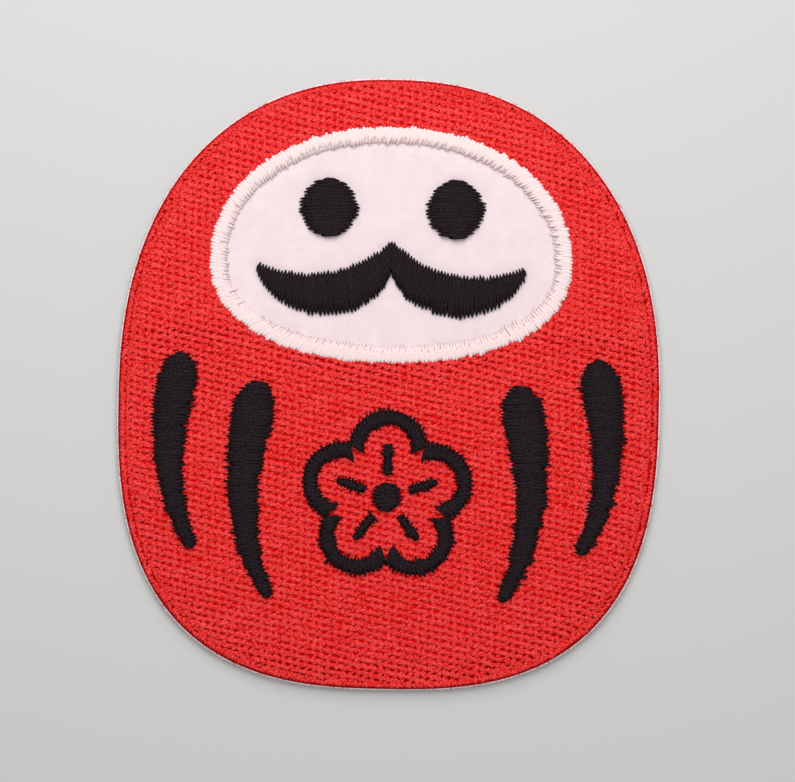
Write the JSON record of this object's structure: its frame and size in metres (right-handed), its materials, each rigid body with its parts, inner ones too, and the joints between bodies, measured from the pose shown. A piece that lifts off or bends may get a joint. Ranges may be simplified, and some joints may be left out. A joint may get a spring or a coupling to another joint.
{
  "type": "embroidered daruma patch",
  "caption": "Flat egg-shaped embroidered patch of a red daruma doll with a white-ringed face, dot eyes, moustache, dark stripes and a flower, with a heat-seal back.",
  "frame": {"origin": "centre of the flat back face, which rests on a table or a garment", "axes": "+Z out of the embroidered front, +Y up the doll towards its crown, +X to the right of the face as seen"},
  "size_m": [0.0634, 0.0714, 0.0019],
  "materials": {
    "heat_seal_film": "satin",
    "bobbin_thread": "fine polyester filament",
    "stabiliser": "non-woven felt",
    "base_cloth": "plain woven twill, matt",
    "red_thread": "two-ply embroidery thread, low sheen",
    "white_thread": "two-ply embroidery thread, low sheen",
    "black_thread": "two-ply embroidery thread, low sheen"
  },
  "bodies": {
    "root": {"adhesive_film": "heat_seal_film", "bobbin_field": "bobbin_thread", "bobbin_eye_left": "bobbin_thread", "bobbin_eye_right": "bobbin_thread", "bobbin_moustache_left": "bobbin_thread", "bobbin_moustache_right": "bobbin_thread", "stabiliser": "stabiliser", "base_cloth": "base_cloth", "red_fill_crown": "red_thread", "red_fill_left": "red_thread", "red_fill_right": "red_thread", "red_fill_belly": "red_thread", "red_border": "red_thread", "face_ring": "white_thread", "eye_left": "black_thread", "eye_right": "black_thread", "moustache_left": "black_thread", "moustache_right": "black_thread", "stripe_outer_left": "black_thread", "stripe_outer_right": "black_thread", "stripe_inner_left": "black_thread", "stripe_inner_right": "black_thread", "petal_1": "black_thread", "petal_2": "black_thread", "petal_3": "black_thread", "petal_4": "black_thread", "petal_5": "black_thread", "stamen_1": "black_thread", "stamen_2": "black_thread", "stamen_3": "black_thread", "stamen_4": "black_thread", "stamen_5": "black_thread", "flower_centre": "black_thread"}
  },
  "joints": []
}
